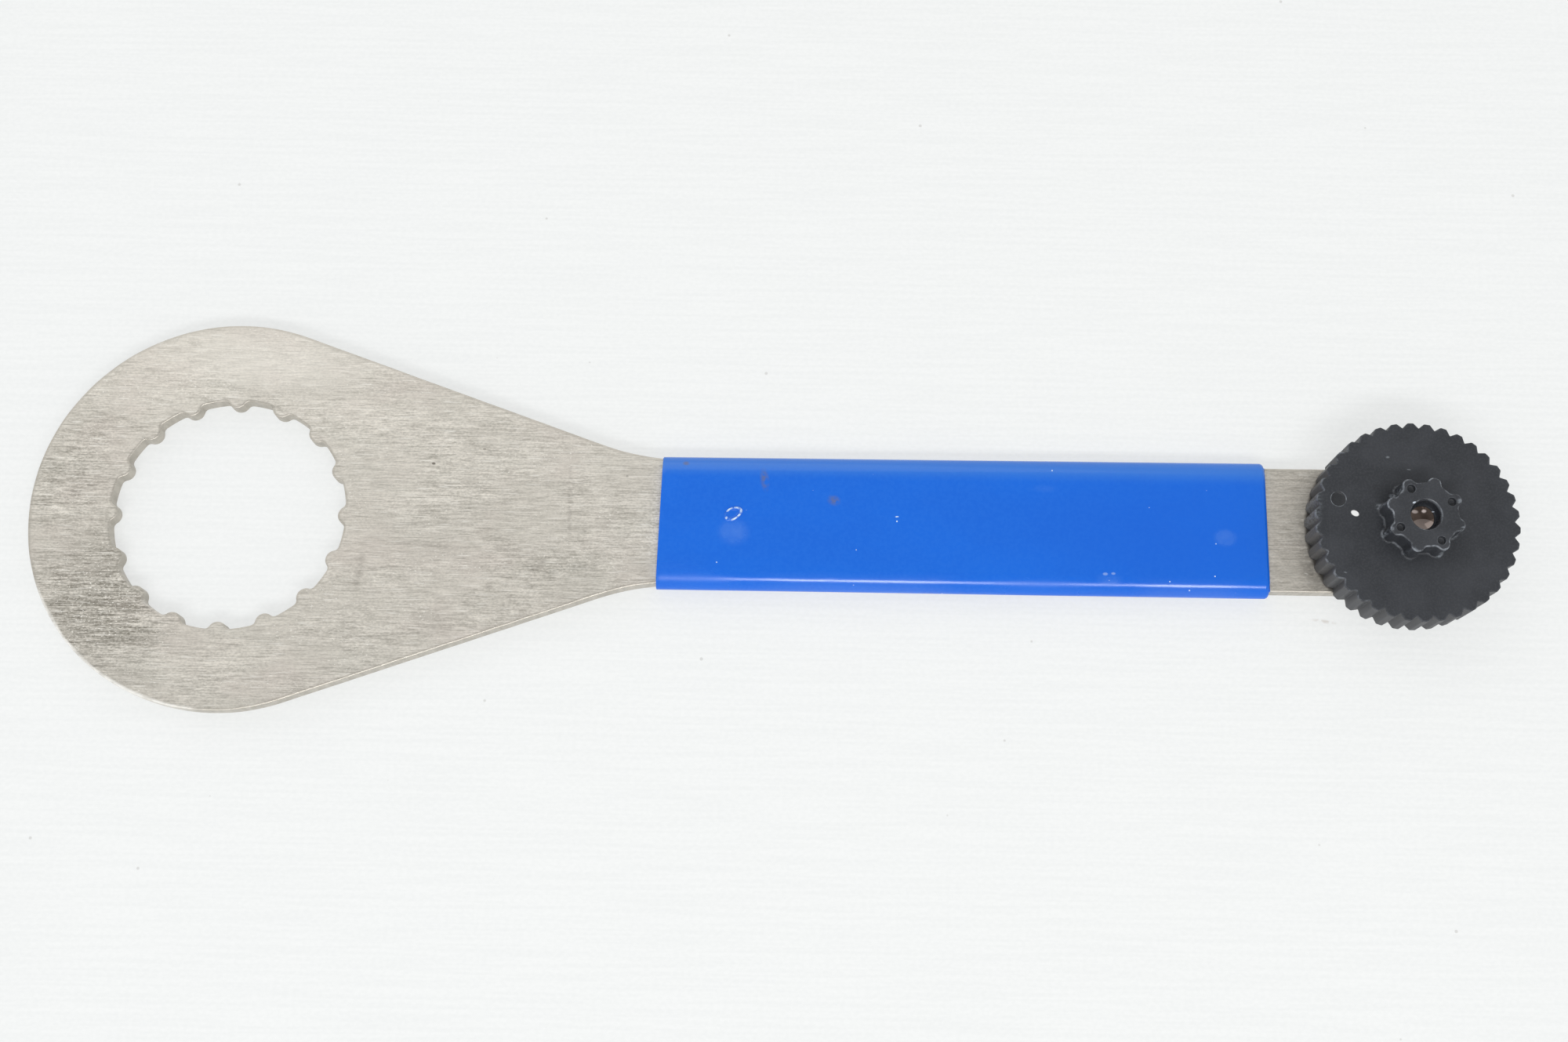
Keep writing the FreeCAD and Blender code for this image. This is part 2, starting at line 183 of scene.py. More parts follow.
def plate_outline(step):
    """Round head, tapers tangent to it, blended neck, straight handle and round end."""
    slope = math.radians(TAPER)
    foot_x = (HEAD_RADIUS / math.cos(slope) - HANDLE_HALF) / math.tan(slope)
    neck_x = foot_x + NECK_RADIUS * math.tan(slope / 2)
    head_x = HEAD_RADIUS * math.sin(slope)
    head_y = HEAD_RADIUS * math.cos(slope)
    blend_x = neck_x - NECK_RADIUS * math.sin(slope)
    blend_y = HANDLE_HALF + NECK_RADIUS * (1 - math.cos(slope))
    rise = HANDLE_HALF + NECK_RADIUS
    return (arc(0, 0, HEAD_RADIUS, 90 - TAPER, 270 + TAPER, step)
            + line(head_x, -head_y, blend_x, -blend_y, step)
            + arc(neck_x, -rise, NECK_RADIUS, 90 + TAPER, 90, step)
            + line(neck_x, -HANDLE_HALF, KNOB_X, -HANDLE_HALF, step)
            + arc(KNOB_X, 0, HANDLE_HALF, -90, 90, step)
            + line(KNOB_X, HANDLE_HALF, neck_x, HANDLE_HALF, step)
            + arc(neck_x, rise, NECK_RADIUS, 270, 270 - TAPER, step)
            + line(blend_x, blend_y, head_x, head_y, step))


def lobed_outline(root, tip, lobe, blend, count, start, step):
    """Round lobes on a circle: outside it where the tip is larger than the root, else inside."""
    side = 1 if tip > root else -1
    centre = tip - side * lobe
    saddle = root + side * blend
    cosine = (saddle ** 2 + centre ** 2 - (lobe + blend) ** 2) / (2 * saddle * centre)
    spread = math.degrees(math.acos(cosine))
    pitch = 360 / count
    to_root = 180 if side > 0 else 0
    spots = []
    for k in range(count):
        middle = start + side * k * pitch
        before = middle - side * spread
        after = middle + side * spread
        cx, cy = centre * math.cos(math.radians(middle)), centre * math.sin(math.radians(middle))
        bx, by = saddle * math.cos(math.radians(before)), saddle * math.sin(math.radians(before))
        ax, ay = saddle * math.cos(math.radians(after)), saddle * math.sin(math.radians(after))
        into = math.degrees(math.atan2(cy - by, cx - bx))
        out = math.degrees(math.atan2(cy - ay, cx - ax))
        spots += arc(bx, by, blend, before + to_root, swept(before + to_root, into, -1), step)
        spots += arc(cx, cy, lobe, into + 180, swept(into + 180, out + 180, 1), step)
        spots += arc(ax, ay, blend, out, swept(out, after + to_root, -1), step)
        spots += arc(0, 0, root, after, after + side * (pitch - 2 * spread), step)
    return spots


def toothed_outline(step):
    """Flat-topped teeth with straight flanks, rounded at their corners."""
    half_tip = math.degrees(TOOTH_TIP_HALF / TOOTH_TIP)
    pitch = 360 / TEETH
    corners = []
    for k in range(TEETH):
        middle = TOOTH_TURN + k * pitch
        for angle, radius, rounding in ((middle - half_tip, TOOTH_TIP, TOOTH_TIP_ROUND),
                                        (middle + half_tip, TOOTH_TIP, TOOTH_TIP_ROUND),
                                        (middle + pitch / 2, TOOTH_ROOT, TOOTH_ROOT_ROUND)):
            x, y = math.cos(math.radians(angle)), math.sin(math.radians(angle))
            corners.append((Vector((radius * x, radius * y)), rounding))
    bends = []
    for i, (corner, rounding) in enumerate(corners):
        ahead = (corners[(i + 1) % len(corners)][0] - corner).normalized()
        behind = (corner - corners[i - 1][0]).normalized()
        bend = math.atan2(behind.x * ahead.y - behind.y * ahead.x, behind.dot(ahead))
        side = 1 if bend > 0 else -1
        start = corner - behind * rounding * math.tan(abs(bend) / 2)
        centre = start + Vector((-behind.y, behind.x)) * rounding * side
        first = math.degrees(math.atan2(start.y - centre.y, start.x - centre.x))
        bends.append((centre, rounding, first, first + math.degrees(bend)))
    spots = []
    for i, (centre, rounding, first, last) in enumerate(bends):
        spots += arc(centre.x, centre.y, rounding, first, last, step)
        end = centre + rounding * Vector((math.cos(math.radians(last)), math.sin(math.radians(last))))
        after, reach, angle, _ = bends[(i + 1) % len(bends)]
        begin = after + reach * Vector((math.cos(math.radians(angle)), math.sin(math.radians(angle))))
        spots += line(end.x, end.y, begin.x, begin.y, step)
    return spots


def round_outline(cx, cy, radius, count):
    """A hole's outline, with the material outside it."""
    return arc(cx, cy, radius, 360, 0, 2 * math.pi * radius / (count - 0.5))


def shifted(outline, dx, dy):
    """The outline moved sideways."""
    return [(x + dx, y + dy, nx, ny) for x, y, nx, ny in outline]


def is_inside(spots, polygons):
    """True for spots inside the first polygon and outside the others."""
    inside = np.ones(len(spots), bool)
    for order, polygon in enumerate(polygons):
        x0, y0 = polygon[:, 0], polygon[:, 1]
        x1, y1 = np.roll(x0, -1), np.roll(y0, -1)
        px, py = spots[:, 0, None], spots[:, 1, None]
        rise = np.where(y1 == y0, 1.0, y1 - y0)
        crosses = ((y0 > py) != (y1 > py)) & (px < (x1 - x0) * (py - y0) / rise + x0)
        odd = crosses.sum(axis=1) % 2 == 1
        inside &= odd if order == 0 else ~odd
    return inside


def grid_inside(polygons, spacing):
    """A staggered grid of spots inside the first polygon, clear of every edge."""
    low, high = polygons[0].min(axis=0), polygons[0].max(axis=0)
    rows = np.arange(low[1] + spacing / 2, high[1], spacing * 0.866)
    spots = [(x, y) for k, y in enumerate(rows)
             for x in np.arange(low[0] + spacing * (k % 2) / 2, high[0], spacing)]
    spots = np.array(spots)
    spots = spots[is_inside(spots, polygons)]
    for polygon in polygons:
        gaps = np.sqrt(((spots[:, None, :] - polygon[None, :, :]) ** 2).sum(axis=2)).min(axis=1)
        spots = spots[gaps > spacing * 0.55]
    return [tuple(spot) for spot in spots]


def edge_profile(radius, steps):
    """(inset, drop) pairs round a quarter circle, from the face's side to the wall's."""
    turns = [math.radians(90 * k / steps) for k in range(steps + 1)]
    return [(radius * (1 - math.sin(a)), radius * (1 - math.cos(a))) for a in turns]


class Shell:
    """Loops of points joined by bands and flat caps into one closed mesh."""

    def __init__(self):
        self.points = []
        self.wear_and_highlight = []
        self.faces = []

    def loop(self, spots, wear_and_highlight=0.0):
        first = len(self.points)
        self.points += [tuple(spot) for spot in spots]
        self.wear_and_highlight += wear_and_highlight if isinstance(wear_and_highlight, list) else [wear_and_highlight] * (len(self.points) - first)
        return list(range(first, len(self.points)))

    def level(self, outline, inset, z, wear_and_highlight=0.0):
        """The outline, drawn in by the inset, at height z."""
        return self.loop([(x - nx * inset, y - ny * inset, z) for x, y, nx, ny in outline], wear_and_highlight)

    def stack(self, loops):
        """Bands from each loop to the next one."""
        for low, high in zip(loops, loops[1:]):
            count = len(low)
            for i in range(count):
                j = (i + 1) % count
                self.faces.append((low[i], low[j], high[j], high[i]))

    def cap(self, loops, up, spacing):
        """A flat face inside the first loop and outside the others, in even triangles."""
        z = self.points[loops[0][0]][2]
        polygons = [np.array([self.points[index][:2] for index in loop]) for loop in loops]
        extra = self.loop([(x, y, z) for x, y in grid_inside(polygons, spacing)])
        used = [index for loop in loops for index in loop] + extra
        spots = [Vector(self.points[index][:2]) for index in used]
        edges = []
        first = 0
        for loop in loops:
            count = len(loop)
            edges += [(first + i, first + (i + 1) % count) for i in range(count)]
            first += count
        verts, _, triangles, origins, _, _ = geometry.delaunay_2d_cdt(spots, edges, [], 0, 1e-6)
        corners = np.array([[tuple(verts[i]) for i in triangle] for triangle in triangles])
        sides = corners[:, 1:] - corners[:, :1]
        areas = abs(sides[:, 0, 0] * sides[:, 1, 1] - sides[:, 0, 1] * sides[:, 1, 0])
        # Slivers between points in line on a straight edge are left out
        wanted = is_inside(corners.mean(axis=1), polygons) & (areas > 1e-5)
        for triangle, is_wanted in zip(triangles, wanted):
            if is_wanted:
                face = [used[origins[i][0]] for i in triangle]
                self.faces.append(tuple(face if up else reversed(face)))

    def mesh(self, name):
        mesh = bpy.data.meshes.new(name)
        mesh.from_pydata([Vector(point) * MM for point in self.points], [], self.faces)
        # Per-point value for worn edges on the knob, and for painted highlights and shade on the plate's
        # rims and the blister's rim
        mesh.attributes.new("wear_and_highlight", "FLOAT", "POINT").data.foreach_set("value", self.wear_and_highlight)
        mesh.update()
        return mesh


def make_piece(name, mesh, material):
    piece = bpy.data.objects.new(name, mesh)
    bpy.context.scene.collection.objects.link(piece)
    mesh.materials.append(material)
    mesh.polygons.foreach_set("use_smooth", [True] * len(mesh.polygons))
    mesh.set_sharp_from_angle(angle=math.radians(50))
    piece.modifiers.new("normals", "WEIGHTED_NORMAL").keep_sharp = True
    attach(piece, "root")
    return piece


class Graph:
    """A material's node tree, with short calls for the nodes that the materials use."""

    def __init__(self, name):
        self.material = bpy.data.materials.new(name)
        self.material.use_nodes = True
        self.tree = self.material.node_tree
        self.shader = self.tree.nodes["Principled BSDF"]
        self.coordinates = self.tree.nodes.new("ShaderNodeTexCoord")
        self.place = self.coordinates.outputs["Object"]

    def feed(self, socket, value):
        if isinstance(value, bpy.types.NodeSocket):
            self.tree.links.new(value, socket)
        elif isinstance(value, tuple) and socket.type == "RGBA":
            socket.default_value = (*value, 1.0)
        else:
            socket.default_value = value

    def set(self, **values):
        """Shader inputs by name, with underscores for spaces."""
        for name, value in values.items():
            self.feed(self.shader.inputs[name.replace("_", " ")], value)

    def noise(self, scale, shift=0.0, detail=2.0, roughness=0.5):
        """Noise with so many cells to the metre along each axis."""
        mapping = self.tree.nodes.new("ShaderNodeMapping")
        self.feed(mapping.inputs["Vector"], self.place)
        mapping.inputs["Location"].default_value = (shift, 0.7 * shift, 0.3 * shift)
        mapping.inputs["Scale"].default_value = scale
        node = self.tree.nodes.new("ShaderNodeTexNoise")
        self.feed(node.inputs["Vector"], mapping.outputs["Vector"])
        node.inputs["Scale"].default_value = 1.0
        node.inputs["Detail"].default_value = detail
        node.inputs["Roughness"].default_value = roughness
        return node.outputs["Fac"]

    def cells(self, scale):
        """Distance to scattered spots, so many to the metre."""
        node = self.tree.nodes.new("ShaderNodeTexVoronoi")
        self.feed(node.inputs["Vector"], self.place)
        node.inputs["Scale"].default_value = scale
        return node.outputs["Distance"]

    def math(self, operation, first, second=0.0):
        node = self.tree.nodes.new("ShaderNodeMath")
        node.operation = operation
        self.feed(node.inputs[0], first)
        self.feed(node.inputs[1], second)
        return node.outputs[0]

    def times(self, first, second):
        return self.math("MULTIPLY", first, second)

    def plus(self, first, second):
        return self.math("ADD", first, second)

    def most(self, values):
        result = values[0]
        for value in values[1:]:
            result = self.math("MAXIMUM", result, value)
        return result

    def between(self, value, low, high, new_low=0.0, new_high=1.0):
        """The value's stretch from low to high, spread over the new range and clamped."""
        node = self.tree.nodes.new("ShaderNodeMapRange")
        node.interpolation_type = "SMOOTHSTEP"
        self.feed(node.inputs["Value"], value)
        node.inputs["From Min"].default_value = low
        node.inputs["From Max"].default_value = high
        node.inputs["To Min"].default_value = new_low
        node.inputs["To Max"].default_value = new_high
        return node.outputs["Result"]

    def mix(self, factor, first, second):
        node = self.tree.nodes.new("ShaderNodeMix")
        node.data_type = "RGBA"
        self.feed(node.inputs[0], factor)
        self.feed(node.inputs[6], first)
        self.feed(node.inputs[7], second)
        return node.outputs[2]

    def attribute(self, name):
        node = self.tree.nodes.new("ShaderNodeAttribute")
        node.attribute_name = name
        return node.outputs["Fac"]

    def facing_up(self):
        """1 on faces that look up or down, 0 on walls."""
        split = self.tree.nodes.new("ShaderNodeSeparateXYZ")
        self.feed(split.inputs[0], self.coordinates.outputs["Normal"])
        return self.math("ABSOLUTE", split.outputs["Z"])

    def patch(self, x, y, half_x, half_y, turn=0.0, softness=0.5, square=False):
        """1 in an oval or oblong spot, in millimetres, fading to 0 at its rim."""
        move = self.vector("SUBTRACT", self.place, (x * MM, y * MM, 0))
        spin = self.tree.nodes.new("ShaderNodeVectorRotate")
        spin.rotation_type = "Z_AXIS"
        spin.inputs["Angle"].default_value = -math.radians(turn)
        self.feed(spin.inputs["Vector"], move.outputs[0])
        scaled = self.vector("MULTIPLY", spin.outputs[0], (1 / (half_x * MM), 1 / (half_y * MM), 0))
        if square:
            split = self.tree.nodes.new("ShaderNodeSeparateXYZ")
            self.feed(split.inputs[0], scaled.outputs[0])
            far = self.most([self.math("ABSOLUTE", split.outputs[i]) for i in range(2)])
        else:
            far = self.vector("LENGTH", scaled.outputs[0]).outputs["Value"]
        return self.between(far, 1.0, 1.0 - softness)

    def patches(self, rows):
        """The most of several ovals, as (x, y, half x, half y, turn, softness, weight)."""
        return self.most([self.times(self.patch(*row[:6]), row[6]) for row in rows])

    def vector(self, operation, first, second=None):
        node = self.tree.nodes.new("ShaderNodeVectorMath")
        node.operation = operation
        self.feed(node.inputs[0], first)
        if second:
            self.feed(node.inputs[1], second)
        return node

    def bump(self, height, strength, distance):
        """A bumped normal, for relief of the given height in millimetres."""
        node = self.tree.nodes.new("ShaderNodeBump")
        node.inputs["Strength"].default_value = strength
        node.inputs["Distance"].default_value = distance * MM
        self.feed(node.inputs["Height"], height)
        return node.outputs["Normal"]


def steel_tarnish(g):
    """Darker zones: the head's near side, its left end, and a faint one before the neck."""
    return g.patches([
        (-22, -17, 21, 27, -30, 0.95, 1.0),
        (-30, 8, 15, 26, -20, 0.9, 0.45),
        (60, -10.5, 17, 7, 8, 0.9, 0.25),
    ])


def steel_tone(g, lines, mottle, speckle, tarnish):
    """Brightness of the brushed face, uneven in broad zones and rougher where it's tarnished."""
    bands = g.noise((20, 240, 300), shift=1.7, detail=3.0, roughness=0.55)
    zones = g.between(g.noise((70, 110, 70), shift=6.6), 0.35, 0.65, 0.65, 1.1)
    tone = g.plus(g.times(lines, 0.54), g.times(g.between(bands, 0.3, 0.7), 0.16))
    tone = g.plus(tone, g.times(g.between(mottle, 0.3, 0.7), 0.24))
    tone = g.plus(tone, g.times(g.plus(g.between(speckle, 0.35, 0.65), -0.38), 0.26))
    contrast = g.times(zones, g.between(tarnish, 0.0, 1.0, 0.82, 1.6))
    level = g.plus(g.times(tarnish, -0.26), 0.66)
    return g.plus(g.times(g.plus(tone, -0.5), contrast), level)


def steel_tints(g, colour, tarnish):
    """Faint brown, pinkish and greenish clouds in the plating."""
    pinkish = g.between(g.noise((60, 90, 60), shift=5.9), 0.45, 0.75)
    greenish = g.between(g.noise((45, 120, 60), shift=9.3), 0.5, 0.75)
    colour = g.mix(g.times(tarnish, 0.1), colour, (0.38, 0.34, 0.29))
    colour = g.mix(g.times(pinkish, 0.28), colour, (0.76, 0.67, 0.61))
    return g.mix(g.times(greenish, 0.12), colour, (0.62, 0.63, 0.56))


def steel_streaks(g, colour, tarnish):
    """Single dark and light lines along the brushing, most of them where it's tarnished."""
    streak = g.noise((240, 4600, 900), shift=7.7, detail=0.0)
    dark = g.times(g.between(streak, 0.68, 0.78), g.plus(g.times(tarnish, 0.6), 0.35))
    light = g.times(g.between(streak, 0.32, 0.22), 0.6)
    colour = g.mix(dark, colour, (0.26, 0.24, 0.205))
    return g.mix(light, colour, (0.97, 0.94, 0.87))


def steel_painted_glints(g, tarnish):
    """Painted glints: bright grains, scattered in places and all over the tarnish."""
    grains = g.noise((2000, 3600, 2000), shift=2.1, detail=1.0)
    somewhere = g.between(g.noise((110, 160, 100), shift=8.2), 0.42, 0.62)
    return g.times(g.between(grains, 0.65, 0.71), g.most([g.times(somewhere, 0.7), tarnish]))


def steel_pits(g, tarnish):
    """Dark grains, denser in the tarnish."""
    grit = g.noise((1700, 3200, 2000), shift=5.1, detail=1.0)
    return g.times(g.between(grit, 0.66, 0.76), g.plus(g.times(tarnish, 0.8), 0.2))


def steel_marks(g, colour, speckle):
    """Marks in places of their own: smudges, the dull bare end, grease, dots and chips, with a painted
    highlight on the head's far side and a painted shadow round the knob.
    """
    ragged = g.between(g.noise((900, 1300, 900), shift=4.4, detail=3.0), 0.3, 0.6)
    smudges = g.patches([
        (52, -6, 2.2, 1.0, 0, 0.9, 1.0),
        (49.8, -13.3, 1.6, 0.8, 0, 0.9, 1.0),
        (65.5, 6.4, 1.8, 0.9, 20, 0.9, 1.0),
        (25.6, -10.5, 1.3, 6.5, -8, 0.9, 1.0),
        (38, -5.4, 9.5, 1.0, -4, 0.9, 1.0),
        (59, -9.6, 1.0, 4.2, -35, 0.9, 1.0),
        (64.5, 2.5, 0.7, 11.0, 2, 0.9, 1.0),
    ])
    colour = g.mix(g.times(g.times(smudges, ragged), 0.34), colour, (0.30, 0.27, 0.235))
    bare_end = g.patch(204, 0, 9, 14, softness=0.3, square=True)
    colour = g.mix(g.times(bare_end, 0.22), colour, (0.46, 0.41, 0.35))
    # Painted highlight on the head's far side
    painted_head_highlight = g.patch(6, 31, 26, 10, turn=-5, softness=0.9)
    colour = g.mix(g.times(painted_head_highlight, 0.35), colour, (1.0, 0.96, 0.88))
    sleeve_mouth = g.patch(80.4, 0, 0.9, 12, turn=-1.5, softness=0.8, square=True)
    dashes = g.times(sleeve_mouth, g.between(speckle, 0.45, 0.62))
    colour = g.mix(g.times(dashes, 0.4), colour, (1.0, 0.97, 0.90))
    # Painted shadow on the steel under and round the knob
    painted_knob_shadow = g.patch(KNOB_X, 0, TOOTH_TIP + 0.14, TOOTH_TIP + 0.14, softness=0.04)
    colour = g.mix(g.times(painted_knob_shadow, 0.85), colour, (0.07, 0.065, 0.06))
    grease = g.times(g.patch(204.5, -7.5, 3.2, 5.5, turn=25, softness=0.9), ragged)
    colour = g.mix(g.times(grease, 0.5), colour, (0.20, 0.18, 0.155))
    dots = g.patches([
        (47.8, 13.4, 0.4, 0.28, 0, 0.5, 0.45),
        (75.1, 8.5, 0.35, 0.28, 0, 0.5, 0.45),
        (38.3, 10.4, 0.45, 0.3, 0, 0.5, 1.0),
    ])
    colour = g.mix(g.times(dots, 0.8), colour, (0.11, 0.09, 0.07))
    chips = g.patches([
        (-15.7, 33.8, 0.8, 0.35, 25, 0.5, 1.0),
        (202.9, -8.4, 0.5, 0.16, -15, 0.5, 1.0),
    ])
    return g.mix(g.times(chips, 0.6), colour, (0.95, 0.92, 0.86))


def steel_walls(g, colour):
    """Plainer cut faces, with painted shade making them a little darker inside the ring."""
    scored = g.noise((900, 900, 260), detail=3.0, roughness=0.6)
    wall = g.mix(g.between(scored, 0.3, 0.7), (0.48, 0.45, 0.395), (0.64, 0.60, 0.535))
    # Painted shade on the walls inside the ring
    painted_ring_shade = g.patch(0, 0, 24, 24, softness=0.02)
    wall = g.mix(g.times(painted_ring_shade, 0.2), wall, (0.37, 0.345, 0.30))
    return g.mix(g.between(g.facing_up(), 0.25, 0.8), wall, colour)


def plated_steel():
    """Satin nickel plate: fine lines along X, mottling, streaks and stains, with painted glints, a
    painted highlight on the head's far side, painted highlight and shade on the rims, and painted shade
    round the knob and inside the ring.
    """
    g = Graph("plated_steel")
    hair = g.noise((300, 5000, 900), detail=3.0, roughness=0.7)
    brush = g.noise((110, 2300, 600), shift=3.1, detail=4.0, roughness=0.65)
    mottle = g.noise((420, 900, 500), shift=0.4, detail=4.0, roughness=0.65)
    speckle = g.noise((1700, 3300, 2000), shift=4.9, detail=2.0)
    lines = g.between(g.plus(g.times(hair, 0.5), g.times(brush, 0.5)), 0.34, 0.66)
    tarnish = steel_tarnish(g)
    tone = steel_tone(g, lines, mottle, speckle, tarnish)
    colour = g.mix(tone, (0.28, 0.26, 0.215), (0.95, 0.90, 0.81))
    colour = steel_tints(g, colour, tarnish)
    colour = steel_streaks(g, colour, tarnish)
    painted_glints = steel_painted_glints(g, tarnish)
    # Painted glints of the lamps, white and less metallic
    colour = g.mix(painted_glints, colour, (1.0, 0.97, 0.90))
    colour = g.mix(g.times(steel_pits(g, tarnish), 0.7), colour, (0.15, 0.14, 0.12))
    colour = steel_marks(g, colour, speckle)
    colour = steel_walls(g, colour)

    # Rims get a painted highlight along the head's near side and painted shade elsewhere
    wear_and_highlight = g.attribute("wear_and_highlight")
    highlight_breaks = g.between(g.noise((420, 420, 420), shift=3.0, detail=3.0), 0.38, 0.58)
    painted_highlight_zone = g.patch(-22, -30, 24, 17, turn=-32, softness=0.4)
    painted_highlight = g.most([g.times(painted_highlight_zone, g.plus(g.times(highlight_breaks, 0.45), 0.55)), g.times(highlight_breaks, 0.06)])
    painted_rim_highlight = g.times(wear_and_highlight, painted_highlight)
    painted_rim_shade = g.times(wear_and_highlight, g.between(painted_highlight_zone, 0.0, 0.5, 0.55, 0.0))
    colour = g.mix(painted_rim_shade, colour, (0.42, 0.39, 0.335))
    colour = g.mix(painted_rim_highlight, colour, (0.97, 0.95, 0.90))

    roughness = g.plus(g.plus(g.times(lines, 0.12), 0.38), g.times(painted_rim_highlight, -0.14))
    normal = g.bump(g.plus(lines, g.times(mottle, 0.5)), 0.35, 0.014)
    metallic = g.plus(g.times(g.most([painted_glints, painted_rim_highlight]), -0.5), 0.75)
    g.set(Base_Color=colour, Metallic=metallic, Roughness=roughness, Normal=normal, Anisotropic=0.4)
    tangent = g.tree.nodes.new("ShaderNodeTangent")
    tangent.direction_type = "UV_MAP"
    tangent.uv_map = "along"
    g.feed(g.shader.inputs["Tangent"], tangent.outputs[0])
    return g.material


def vinyl_base(g):
    """Cloudy, finely grained blue, deeper towards the knob, with a paler painted reflection along the far
    edge.
    """
    cloud = g.noise((45, 90, 90), detail=3.0)
    grain = g.noise((1500, 1500, 1500))
    colour = g.mix(g.between(cloud, 0.3, 0.7), (0.003, 0.134, 0.70), (0.003, 0.145, 0.735))
    colour = g.mix(g.times(g.between(grain, 0.35, 0.65), 0.34), colour, (0.012, 0.165, 0.74))
    deeper = g.patch(185, -2, 50, 20, softness=0.9)
    colour = g.mix(g.times(deeper, 0.5), colour, (0.003, 0.118, 0.67))
    # Painted reflection along the sleeve's far edge
    painted_far_reflection = g.patch(139, 15.5, 90, 7.5, softness=0.42, square=True)
    return g.mix(g.times(painted_far_reflection, 0.5), colour, (0.07, 0.25, 0.68))


def vinyl_haze(g):
    """Round marks where the gloss is rubbed off."""
    marks = g.patches([
        (95.6, -2.3, 3.7, 3.2, 0, 0.7, 1.0),
        (187.8, -2.0, 2.6, 2.0, 0, 0.5, 0.8),
        (165.8, -10.4, 3.2, 1.6, 0, 0.8, 0.6),
        (154.0, 7.0, 3.0, 1.0, 0, 0.8, 0.35),
    ])
    return g.times(marks, g.between(g.noise((700, 700, 700), detail=3.0), 0.25, 0.7, 0.55, 1.0))


def vinyl_stains(g):
    """Brownish smudges near the sleeve's left end."""
    stains = g.patches([
        (101.2, 7.9, 1.1, 2.8, 8, 0.9, 1.0),
        (114.3, 4.1, 1.6, 1.3, -20, 0.9, 1.0),
        (86.3, 11.0, 0.9, 0.6, 0, 0.8, 1.0),
    ])
    return g.times(stains, g.between(g.noise((900, 900, 900), shift=4.0, detail=3.0), 0.3, 0.55))


def vinyl_white(g):
    """Scattered white specks, a few nicks, and painted glints broken along the blister's rim."""
    chance = g.between(g.noise((260, 260, 260), shift=9.0, detail=0.0), 0.56, 0.61)
    specks = g.times(g.between(g.cells(420), 0.07, 0.04), chance)
    nicks = g.patches([
        (126.2, 1.1, 0.42, 0.13, 5, 0.5, 1.0),
        (126.2, 0.2, 0.17, 0.17, 0, 0.5, 1.0),
        (165.1, -9.3, 0.6, 0.35, 0, 0.5, 0.25),
        (166.6, -9.2, 0.5, 0.3, 0, 0.5, 0.25),
    ])
    painted_rim_glints = g.between(g.noise((900, 900, 900), shift=5.2, detail=2.0), 0.3, 0.5)
    return g.most([g.times(specks, 0.8), nicks, g.times(g.attribute("wear_and_highlight"), painted_rim_glints)])


def blue_vinyl():
    """Glossy soft vinyl with hazy round marks, brownish smudges and white specks, a painted reflection
    along its far edge and painted glints on the blister's rim.
    """
    g = Graph("blue_vinyl")
    haze = vinyl_haze(g)
    colour = g.mix(g.times(haze, 0.2), vinyl_base(g), (0.18, 0.36, 0.78))
    colour = g.mix(g.times(vinyl_stains(g), 0.8), colour, (0.125, 0.15, 0.27))
    colour = g.mix(vinyl_white(g), colour, (0.76, 0.91, 1.0))

    # The near edge is dull in two stretches and polished in the two others
    dull = g.patches([(80, -13, 19, 6, 0, 0.4, 0.8), (153, -13, 13, 5, 0, 0.9, 0.8)])
    polished = g.most([
        g.patch(119, -12.5, 22, 3.2, softness=0.6, square=True),
        g.patch(181, -12.5, 12, 3.2, softness=0.6, square=True),
    ])
    scuffs = g.between(g.noise((260, 900, 300), shift=7.0, detail=4.0), 0.5, 0.75)
    roughness = g.plus(g.plus(g.times(scuffs, 0.06), 0.17), g.times(g.most([haze, dull]), 0.22))
    specular = g.plus(g.times(polished, 0.3), 0.42)
    normal = g.bump(g.noise((420, 420, 420), detail=5.0, roughness=0.6), 0.12, 0.06)
    g.set(Base_Color=colour, Roughness=roughness, Normal=normal, Specular_IOR_Level=specular)
    return g.material


def nylon_wear(g, colour):
    """Broken grey lines along every edge."""
    broken = g.noise((650, 650, 650), shift=1.3, detail=4.0, roughness=0.65)
    spread = g.between(g.noise((170, 170, 170), shift=3.7), 0.38, 0.60, 0.3, 1.0)
    scuffed = g.times(g.times(g.attribute("wear_and_highlight"), g.between(broken, 0.40, 0.62)), spread)
    return g.mix(g.times(scuffed, 0.9), colour, (0.25, 0.27, 0.30))


def nylon_rubs(g, colour):
    """Rubbed corners of the boss and the side that faces the handle."""
    corners = g.patches([
        (KNOB_X - 4.4, 4.6, 1.3, 0.9, 50, 0.7, 1.0),
        (KNOB_X - 7.0, 2.6, 0.9, 0.8, 0, 0.7, 1.0),
        (KNOB_X + 4.8, -4.4, 1.2, 0.7, 45, 0.7, 1.0),
        (KNOB_X + 6.5, -2.6, 0.9, 0.6, 30, 0.7, 1.0),
        (KNOB_X + 6.3, 2.6, 0.9, 0.7, 60, 0.7, 1.0),
        (KNOB_X - 6.5, -2.8, 0.7, 0.7, 0, 0.7, 1.0),
        (KNOB_X + 3.3, -6.5, 0.8, 0.5, 15, 0.7, 1.0),
        (KNOB_X - 2.5, -6.4, 0.8, 0.4, -30, 0.7, 1.0),
    ])
    side = g.times(g.patch(KNOB_X - 19.5, 3.5, 2.6, 7.5, softness=0.9), 0.7)
    noisy = g.noise((1100, 2200, 1100), shift=2.6, detail=3.0, roughness=0.65)
    strokes = g.between(noisy, 0.40, 0.60)
    rubs = g.times(g.most([corners, side]), strokes)
    return g.mix(g.times(rubs, 0.8), colour, (0.20, 0.22, 0.245))


